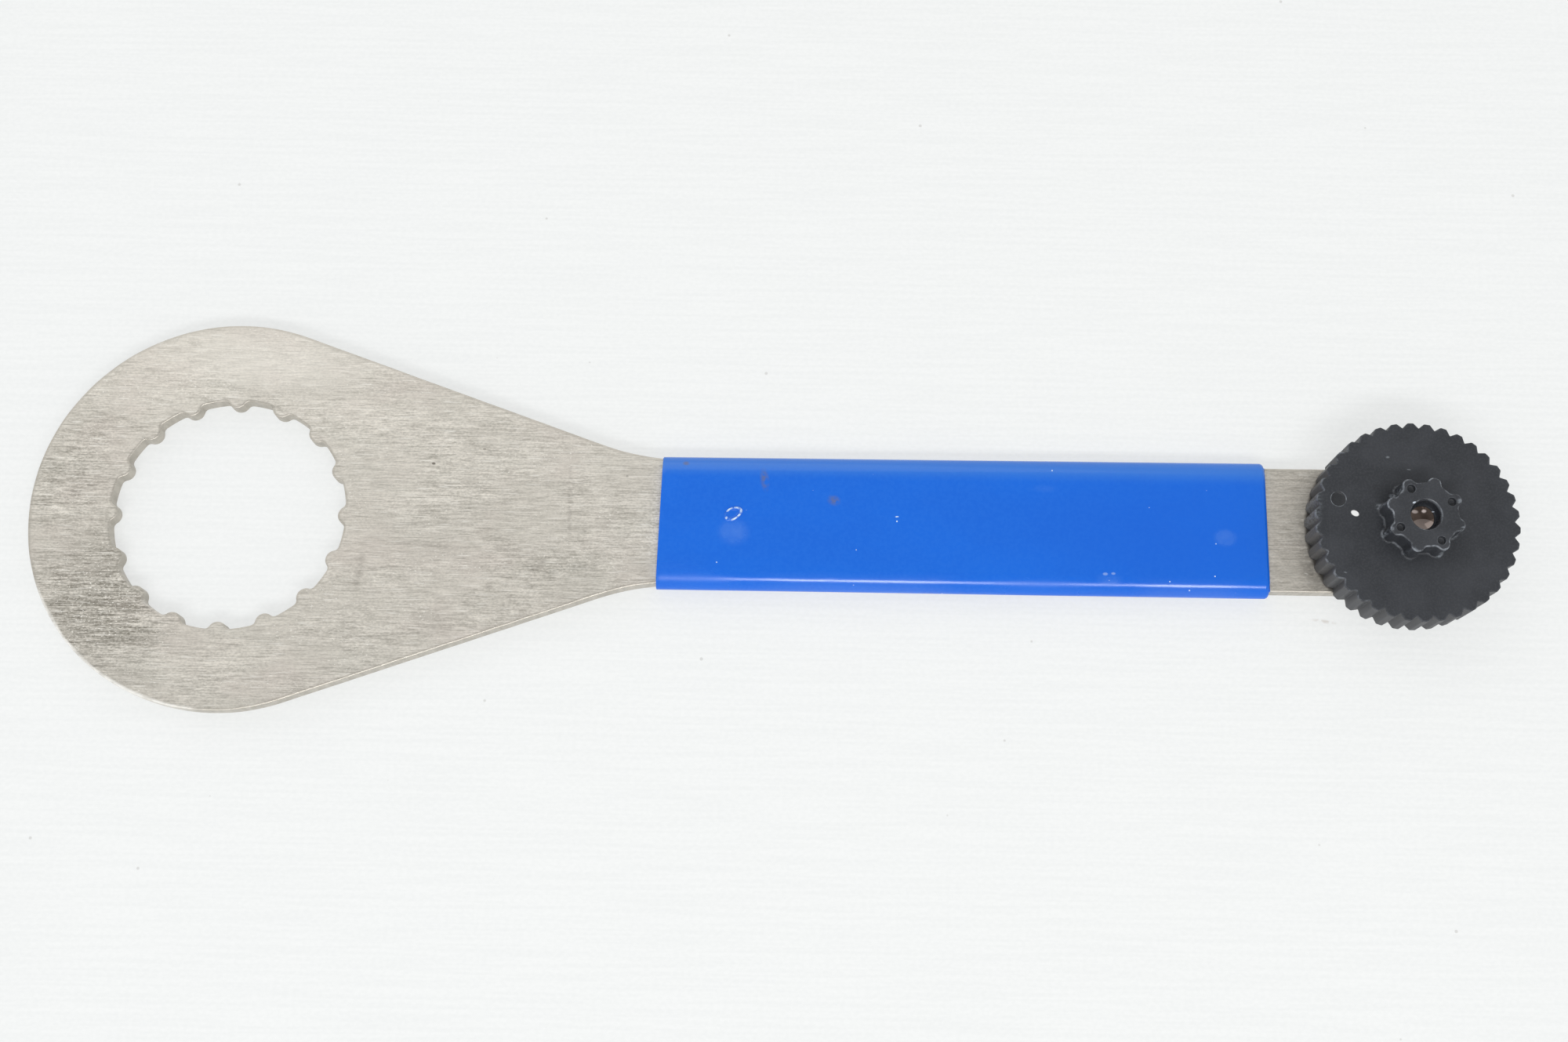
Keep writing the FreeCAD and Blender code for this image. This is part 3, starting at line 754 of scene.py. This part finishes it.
def nylon_marks(g, colour):
    """Scratches on the disc, painted shade on the dimple's floor, a fleck of white paint and two painted
    glints in the bore.
    """
    scratches = g.patches([
        (220.75, 9.86, 0.5, 0.13, -5, 0.5, 1.0),
        (216.97, 12.2, 0.5, 0.3, 0, 0.9, 1.0),
        (207.9, -9.9, 0.45, 0.13, -15, 0.8, 1.0),
    ])
    colour = g.mix(g.times(scratches, 0.7), colour, (0.22, 0.24, 0.26))
    # Painted shade on the dimple's floor
    painted_dimple_shade = g.patch(DIMPLE_X, DIMPLE_Y, DIMPLE_RADIUS, DIMPLE_RADIUS, softness=0.1)
    colour = g.mix(g.times(painted_dimple_shade, 0.6), colour, (0.010, 0.011, 0.013))
    fleck = g.patch(210.28, 1.33, 0.86, 0.58, turn=-27, softness=0.25)
    colour = g.mix(fleck, colour, (0.88, 0.88, 0.87))
    # Painted glints on the bore's mouth
    painted_bore_glints = g.patches([
        (KNOB_X - 2.1, 2.2, 0.42, 0.2, 20, 0.5, 1.0),
        (KNOB_X + 2.0, 1.15, 0.3, 0.12, -10, 0.5, 1.0),
    ])
    return g.mix(g.times(painted_bore_glints, 0.8), colour, (0.75, 0.82, 0.92))


def black_nylon():
    """Matte moulded nylon, with painted light on the teeth's side walls, greyed along its edges and
    smooth in its bore.
    """
    g = Graph("black_nylon")
    cloud = g.noise((150, 150, 150), detail=4.0, roughness=0.55)
    grain = g.noise((2600, 2600, 2600))
    colour = g.mix(g.between(cloud, 0.3, 0.7), (0.021, 0.0235, 0.0285), (0.034, 0.037, 0.044))
    colour = g.mix(g.times(g.between(grain, 0.4, 0.7), 0.3), colour, (0.060, 0.063, 0.071))
    outside = g.between(g.patch(KNOB_X, 0, 14, 14, softness=0.1), 1.0, 0.0)
    # Painted light: the teeth's side walls made lighter
    painted_wall_light = g.times(g.between(g.facing_up(), 0.8, 0.3), outside)
    colour = g.mix(g.times(painted_wall_light, 0.75), colour, (0.060, 0.061, 0.065))
    colour = nylon_wear(g, colour)
    colour = nylon_rubs(g, colour)
    colour = nylon_marks(g, colour)

    bore_mouth = BORE_WALL[0][0]
    bore = g.patch(KNOB_X, 0, bore_mouth, bore_mouth, softness=0.03)
    roughness = g.plus(g.plus(g.times(cloud, 0.12), 0.46), g.times(bore, -0.28))
    relief = g.times(g.plus(g.times(grain, 0.4), cloud), g.between(bore, 0.0, 1.0, 1.0, 0.2))
    g.set(Base_Color=colour, Roughness=roughness, Normal=g.bump(relief, 0.22, 0.05))
    return g.material


def magnet_plating():
    """Nickel plating painted dark brown as its reflection of the dark camera above, with a paler painted
    reflection on its lower half, painted glints and fine scuffs.
    """
    g = Graph("magnet_plating")
    cloud = g.noise((500, 500, 500), detail=3.0)
    scratch = g.noise((3000, 500, 500), shift=2.0, detail=3.0)
    # Dark brown base: painted reflection of the dark camera overhead
    colour = g.mix(g.between(cloud, 0.35, 0.65), (0.075, 0.055, 0.045), (0.12, 0.09, 0.075))
    # Lower half painted paler, as its reflection of the bright room beyond
    painted_pale_reflection = g.patch(KNOB_X + 0.2, -1.5, 2.3, 1.5, softness=0.12)
    colour = g.mix(painted_pale_reflection, colour, (0.25, 0.205, 0.185))
    # Painted glints of the front lamp
    painted_highlight = g.patches([
        (KNOB_X + 0.5, 1.35, 0.55, 0.4, 0, 0.6, 1.0),
        (KNOB_X - 1.2, 1.2, 0.8, 0.4, 0, 0.5, 0.5),
    ])
    colour = g.mix(painted_highlight, colour, (0.9, 0.78, 0.74))
    roughness = g.plus(g.times(g.between(scratch, 0.4, 0.8), 0.14), 0.10)
    g.set(Base_Color=colour, Metallic=1.0, Roughness=roughness, Normal=g.bump(scratch, 0.08, 0.02))
    return g.material


def table_paint():
    """White table with fine ribs along X, glowing a little so that it looks as pale as it is."""
    g = Graph("table_paint")
    ribs = g.between(g.noise((40, 1300, 1), detail=1.0), 0.3, 0.7)
    weave = g.between(g.noise((1100, 1500, 1), shift=3.0, detail=1.0), 0.3, 0.7)
    pattern = g.plus(g.times(ribs, 0.5), g.times(weave, 0.5))
    colour = g.mix(pattern, (0.880, 0.894, 0.889), (0.922, 0.934, 0.927))
    motes = g.between(g.cells(90), 0.035, 0.02)
    colour = g.mix(g.times(motes, 0.5), colour, (0.55, 0.54, 0.52))
    broken = g.between(g.noise((900, 900, 1)), 0.35, 0.6)
    scrape = g.times(g.patch(207.0, -16.6, 3.4, 0.5, turn=-8, softness=0.9), broken)
    colour = g.mix(g.times(scrape, 0.6), colour, (0.62, 0.57, 0.52))
    g.set(Base_Color=colour, Roughness=0.85)
    path = g.tree.nodes.new("ShaderNodeLightPath")
    rays = ("Is Camera Ray", "Is Glossy Ray", "Is Transmission Ray")
    seen = g.most([path.outputs[ray] for ray in rays])
    glow = g.tree.nodes.new("ShaderNodeEmission")
    g.feed(glow.inputs["Color"], colour)
    blend = g.tree.nodes.new("ShaderNodeMixShader")
    g.feed(blend.inputs[0], g.times(seen, TABLE_GLOW))
    g.feed(blend.inputs[1], g.shader.outputs[0])
    g.feed(blend.inputs[2], glow.outputs[0])
    g.feed(g.tree.nodes["Material Output"].inputs["Surface"], blend.outputs[0])
    return g.material


def plate_wall(shell, outline, radius, unevenness):
    """Rounded edges and the wall between them. Returns the loops where the two faces start."""
    radii = [radius * (1 + unevenness * noise.noise(Vector((x / 4, y / 4, radius))))
             for x, y, _, _ in outline]

    def row(inset, base, height, wear_and_highlight=0.0):
        spots = [(x - nx * r * inset, y - ny * r * inset, base + r * height)
                 for (x, y, nx, ny), r in zip(outline, radii)]
        return shell.loop(spots, wear_and_highlight)

    top = PLATE_HIGH.z
    loops = [row(2.2, 0.0, 0.0)]
    loops += [row(inset, 0.0, drop, 1.0 - 0.6 * drop) for inset, drop in edge_profile(1.0, 4)]
    loops += [row(inset, top, -drop, 1.0 - 0.6 * drop) for inset, drop in reversed(edge_profile(1.0, 4))]
    loops.append(row(2.2, top, 0.0))
    shell.stack(loops)
    return loops[0], loops[-1]


def make_plate(material):
    shell = Shell()
    ring = lobed_outline(RING_ROOT, RING_TIP, RING_LOBE, RING_BLEND, RING_LOBES, 0, 0.22)
    outer_low, outer_high = plate_wall(shell, plate_outline(0.7), PLATE_EDGE, 0.35)
    ring_low, ring_high = plate_wall(shell, ring, PLATE_EDGE * 0.8, 0.5)
    shell.cap([outer_high, ring_high], True, 3.0)
    shell.cap([outer_low, ring_low], False, 3.0)
    mesh = shell.mesh("wrench_plate_body")
    layer = mesh.uv_layers.new(name="along")
    for corner in mesh.loops:
        spot = mesh.vertices[corner.vertex_index].co
        layer.data[corner.index].uv = (spot.x * 4, spot.y * 4 + spot.z)
    piece = make_piece("wrench_plate_body", mesh, material)
    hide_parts("wrench_plate")


def oval_band(near, far, low_z, high_z, reach):
    """A flat band with elliptical sides, as (y, z) going round from the near top edge."""
    middle, rise = (low_z + high_z) / 2, (high_z - low_z) / 2
    turns = np.linspace(0, math.pi, 37)[:-1]
    top = [(y, high_z) for y in np.linspace(-near + reach, far - reach, 27)[:-1]]
    far_side = [(far - reach + reach * math.sin(a), middle + rise * math.cos(a)) for a in turns]
    bottom = [(y, low_z) for y in np.linspace(far - reach, -near + reach, 27)[:-1]]
    near_side = [(-near + reach - reach * math.sin(a), middle - rise * math.cos(a)) for a in turns]
    return top + far_side + bottom + near_side


def drawn_in(section, inset):
    """The section moved inwards along its normals."""
    spots = np.array(section)
    along = np.roll(spots, -1, axis=0) - np.roll(spots, 1, axis=0)
    along /= np.linalg.norm(along, axis=1)[:, None]
    return spots - np.stack([-along[:, 1], along[:, 0]], axis=1) * inset


def sleeve_row(x, inset):
    """The sleeve's outside at x: wider on the far side towards the knob, and a little wavy on top."""
    start, end = SLEEVE_LOW.x, SLEEVE_HIGH.x
    near = SLEEVE_HIGH.y
    far = near + FAR_SIDE_SHIFT + FAR_SIDE_GAIN * (x - start) / (end - start)
    lean = SLEEVE_SLANT * max(0.0, 1 - (x - start) / SLANT_FADE)
    settle = min(1.0, (x - start) / WAVE_START)
    spots = []
    for y, z in drawn_in(oval_band(near, far, SLEEVE_LOW.z, SLEEVE_HIGH.z, SLEEVE_SIDE), inset):
        swell = LONG_WAVE * noise.noise(Vector((x / 14, y / 5, z / 4)))
        swell += SHORT_WAVE * noise.noise(Vector((x / 4, y / 2.5, z / 2 + 7)))
        upper = max(0.0, z - PLATE_HIGH.z / 2) / PLATE_HIGH.z
        spots.append((x + lean * y, y, z + swell * settle * upper))
    return spots


def slot_row(x):
    """The sleeve's inside at x, opening a little at its mouth."""
    start = SLEEVE_LOW.x
    flare = MOUTH_FLARE * max(0.0, 1 - (x - start) / MOUTH_FLARE_DEPTH) ** 2
    half = HANDLE_HALF + SLOT_FIT + flare
    lean = SLEEVE_SLANT * max(0.0, 1 - (x - start) / SLANT_FADE)
    section = oval_band(half, half, -SLOT_FIT, PLATE_HIGH.z + SLOT_FIT, SLOT_CORNER)
    return [(x + lean * y, y, z) for y, z in section]


def make_sleeve(material):
    shell = Shell()
    start, end = SLEEVE_LOW.x, SLEEVE_HIGH.x
    edge = SLEEVE_MOUTH_EDGE
    rows = [sleeve_row(start, edge), sleeve_row(start + edge * 0.3, edge * 0.3)]
    rows += [sleeve_row(x, 0.0) for x in np.arange(start + edge, end - SLEEVE_END_ROUND, 0.9)]
    rows += [sleeve_row(end - drop, inset) for inset, drop in reversed(edge_profile(SLEEVE_END_ROUND, 6))]
    rows += [slot_row(x) for x in np.linspace(end, start, 40)]
    loops = [list(reversed(shell.loop(row))) for row in rows]
    shell.stack(loops + loops[:1])
    piece = make_piece("grip_sleeve_body", shell.mesh("grip_sleeve_body"), material)
    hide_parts("grip_sleeve")


def make_blister(material):
    """Small oval crater with a raised rim, moulded on the sleeve's upper face."""
    shell = Shell()
    base = SLEEVE_HIGH.z + 0.03
    cosine, sine = math.cos(BLISTER_TURN), math.sin(BLISTER_TURN)
    # From the outside in, as (share of the oval, height)
    profile = [
        (1.1, -0.2), (1.0, -0.04), (0.95, 0.05), (0.88, 0.18), (0.80, 0.27), (0.72, 0.28),
        (0.64, 0.2), (0.56, 0.07), (0.46, 0.0), (0.3, -0.01), (0.12, -0.015),
    ]
    # Stretches of the rim with painted glints, as (middle, half width) in degrees round it
    painted_rim_glints = [(20, 50), (105, 30), (205, 22), (265, 26), (310, 18)]
    loops = []
    for share, height in profile:
        spots = []
        wear_and_highlight = []
        for k in range(BLISTER_POINTS):
            degrees = 360 * k / BLISTER_POINTS
            a = math.radians(degrees)
            gaps = [abs((degrees - middle + 180) % 360 - 180) / half for middle, half in painted_rim_glints]
            # Painted glints on the rim's crest
            wear_and_highlight.append(max(0.0, 1 - min(gaps)) ** 0.5 if 0.7 < share < 0.9 else 0.0)
            wobble = 1 + 0.07 * math.sin(2 * a + 0.6) + 0.04 * math.sin(3 * a + 2.0)
            u = BLISTER_HALF_X * share * wobble * math.cos(a)
            v = BLISTER_HALF_Y * share * wobble * math.sin(a)
            lift = max(height, 0) * 0.3 * math.sin(a + 1.2) + height
            x = BLISTER_X + u * cosine - v * sine
            y = BLISTER_Y + u * sine + v * cosine
            spots.append((x, y, base + lift))
        loops.append(shell.loop(spots, wear_and_highlight))
    shell.stack(loops)
    shell.faces.append(tuple(loops[-1]))
    shell.faces.append(tuple(reversed(loops[0])))
    make_piece("sleeve_blister", shell.mesh("sleeve_blister"), material)


def sink_pit(shell, outline, top, depth, edge, wear_and_highlight):
    """A blind hole with an eased rim. Returns the loop in the face round it."""
    margin = shell.level(outline, edge + 0.1, top)
    rim = shell.level(outline, edge, top, wear_and_highlight)
    eased = shell.level(outline, edge * 0.3, top - edge * 0.3, wear_and_highlight)
    wall = shell.level(outline, 0.0, top - edge, wear_and_highlight * 0.3)
    corner = shell.level(outline, 0.0, top - depth + 0.08)
    floor = shell.level(outline, -0.08, top - depth)
    shell.stack([floor, corner, wall, eased, rim, margin])
    shell.cap([floor], True, 0.4)
    return margin


def knob_disc(shell):
    """Toothed disc without its upper face. Returns that face's outer loop."""
    bottom = KNOB_LOW.z
    teeth = shifted(toothed_outline(0.3), KNOB_X, 0)
    # The side nearest the handle is rubbed the most
    rubbed = [0.15 + 0.85 * min(1.0, max(0.0, (KNOB_X - x) / TOOTH_TIP * 1.6 - 0.5))
              for x, _, _, _ in teeth]
    edge = edge_profile(TOOTH_EDGE, 3)
    loops = [shell.level(teeth, 0.3, bottom)]
    loops += [shell.level(teeth, inset, bottom + drop, 0.1) for inset, drop in edge]
    loops.append(shell.level(teeth, 0.0, bottom + TOOTH_EDGE + 0.2))
    loops.append(shell.level(teeth, 0.0, DISC_TOP - TOOTH_EDGE - 0.25))
    loops += [shell.level(teeth, inset, DISC_TOP - drop, rubbed) for inset, drop in reversed(edge)]
    loops.append(shell.level(teeth, 0.33, DISC_TOP))
    shell.stack(loops)
    shell.cap([loops[0]], False, 2.0)
    return loops[-1]


def knob_boss(shell):
    """Lobed wall of the boss. Returns its foot on the disc and the edge of its upper face."""
    top = KNOB_HIGH.z
    lobes = lobed_outline(SPLINE_ROOT, SPLINE_TIP, SPLINE_LOBE, SPLINE_BLEND, SPLINE_LOBES,
                          SPLINE_TURN, 0.2)
    lobes = shifted(lobes, KNOB_X, 0)
    foot = edge_profile(SPLINE_FOOT, 4)
    edge = edge_profile(SPLINE_EDGE, 3)
    loops = [shell.level(lobes, -0.5, DISC_TOP)]
    loops += [shell.level(lobes, -inset, DISC_TOP + drop, 0.6 * (1 - drop / SPLINE_FOOT))
              for inset, drop in foot]
    loops.append(shell.level(lobes, 0.0, top - SPLINE_EDGE - 0.15))
    loops += [shell.level(lobes, inset, top - drop, 1.0) for inset, drop in reversed(edge)]
    loops.append(shell.level(lobes, SPLINE_EDGE + 0.1, top))
    loops.append(shell.level(lobes, 0.42, top))
    shell.stack(loops)
    return loops[0], loops[-1]


def knob_holes(shell):
    """The boss's small blind holes. Returns their loops in its upper face."""
    holes = []
    for k in range(PIN_HOLES):
        turn = math.radians(SPLINE_TURN + 360 / PIN_HOLES * k)
        x, y = KNOB_X + PIN_CIRCLE * math.cos(turn), PIN_CIRCLE * math.sin(turn)
        outline = round_outline(x, y, PIN_RADIUS, 32)
        holes.append(sink_pit(shell, outline, KNOB_HIGH.z, PIN_DEPTH, 0.07, 0.35))
    return holes


def knob_bore(shell):
    """The bore and its floor. Returns its loop in the boss's upper face."""
    loops = []
    for radius, depth in reversed(BORE_WALL):
        wear_and_highlight = 0.7 if 0 < depth < 0.2 else 0.0
        loops.append(shell.level(round_outline(KNOB_X, 0, radius, 72), 0.0, KNOB_HIGH.z - depth, wear_and_highlight))
    shell.stack(loops)
    shell.cap([loops[0]], True, 0.6)
    return loops[-1]


def make_knob(material):
    shell = Shell()
    disc_rim = knob_disc(shell)
    foot, crown = knob_boss(shell)
    dimple = round_outline(DIMPLE_X, DIMPLE_Y, DIMPLE_RADIUS, 48)
    dimple_rim = sink_pit(shell, dimple, DISC_TOP, DIMPLE_DEPTH, 0.08, 1.0)
    shell.cap([disc_rim, foot, dimple_rim], True, 1.2)
    holes = knob_holes(shell)
    bore_mouth = knob_bore(shell)
    shell.cap([crown, bore_mouth] + holes, True, 0.6)
    piece = make_piece("cap_tool_knob_body", shell.mesh("cap_tool_knob_body"), material)
    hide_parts("cap_tool_knob")


def make_magnet(material):
    """Rod with a polished, cupped end."""
    shell = Shell()
    radius = (MAGNET_HIGH.x - MAGNET_LOW.x) / 2
    low, high = MAGNET_LOW.z, MAGNET_HIGH.z
    # From the underside up, as (radius, height)
    rows = [(radius * 0.5, low), (radius - 0.15, low), (radius, low + 0.15),
            (radius, high - 0.12), (radius - 0.12, high)]
    cup = 5.6
    lip = radius - 0.25
    rim_sag = math.sqrt(cup ** 2 - lip ** 2)
    for share in np.linspace(1.0, 0.04, 18):
        spot = lip * share
        rows.append((spot, high + rim_sag - math.sqrt(cup ** 2 - spot ** 2)))
    loops = [shell.level(arc(KNOB_X, 0, spot, 0, 360, 2 * math.pi * spot / 47.5), 0.0, z)
             for spot, z in rows]
    shell.stack(loops)
    shell.faces.append(tuple(reversed(loops[0])))
    shell.faces.append(tuple(loops[-1]))
    piece = make_piece("knob_magnet_body", shell.mesh("knob_magnet_body"), material)
    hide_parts("knob_magnet")


def make_table(material):
    """Flat staging just under the sleeve, far wider than the view."""
    half = TABLE_HALF
    z = (SLEEVE_LOW.z - TABLE_GAP) * MM
    corners = [(-half, -half, z), (half, -half, z), (half, half, z), (-half, half, z)]
    mesh = bpy.data.meshes.new("table")
    mesh.from_pydata(corners, [], [(0, 1, 2, 3)])
    mesh.materials.append(material)
    table = bpy.data.objects.new("table", mesh)
    bpy.context.scene.collection.objects.link(table)


def make_camera():
    """Nearly overhead, a little in front of the handle's middle."""
    data = bpy.data.cameras.new("camera")
    data.sensor_width = 36.0
    data.lens = CAMERA_LENS
    data.clip_start = 0.01
    data.clip_end = 20.0
    camera = bpy.data.objects.new("camera", data)
    camera.location = CAMERA_PLACE
    camera.rotation_euler = [math.radians(angle) for angle in CAMERA_TURN]
    bpy.context.scene.collection.objects.link(camera)
    bpy.context.scene.camera = camera


def make_light(name, width, depth, power, direction, distance):
    """Soft oblong light facing the object's middle from the given direction."""
    data = bpy.data.lights.new(name, "AREA")
    data.shape = "RECTANGLE"
    data.size = width
    data.size_y = depth
    data.energy = power
    light = bpy.data.objects.new(name, data)
    towards = Vector(direction).normalized()
    light.location = Vector(LAMP_TARGET) + towards * distance
    light.rotation_euler = towards.to_track_quat("Z", "Y").to_euler()
    bpy.context.scene.collection.objects.link(light)


def make_world():
    """Pale room: bright towards the horizon, softer overhead."""
    world = bpy.data.worlds.new("room")
    world.use_nodes = True
    tree = world.node_tree
    background = tree.nodes["Background"]
    direction = tree.nodes.new("ShaderNodeTexCoord")
    split = tree.nodes.new("ShaderNodeSeparateXYZ")
    height = tree.nodes.new("ShaderNodeMapRange")
    height.inputs["From Min"].default_value = 0.0
    height.inputs["From Max"].default_value = 1.0
    height.inputs["To Min"].default_value = ROOM_HORIZON
    height.inputs["To Max"].default_value = ROOM_ZENITH
    tree.links.new(direction.outputs["Generated"], split.inputs[0])
    tree.links.new(split.outputs["Z"], height.inputs["Value"])
    tree.links.new(height.outputs["Result"], background.inputs["Strength"])
    background.inputs["Color"].default_value = ROOM_COLOUR
    bpy.context.scene.world = world


def main():
    make_camera()
    make_world()
    for lamp in LAMPS:
        make_light(*lamp)
    bpy.context.scene.view_settings.view_transform = "Standard"
    vinyl = blue_vinyl()
    make_plate(plated_steel())
    make_sleeve(vinyl)
    make_blister(vinyl)
    make_knob(black_nylon())
    make_magnet(magnet_plating())
    make_table(table_paint())


main()
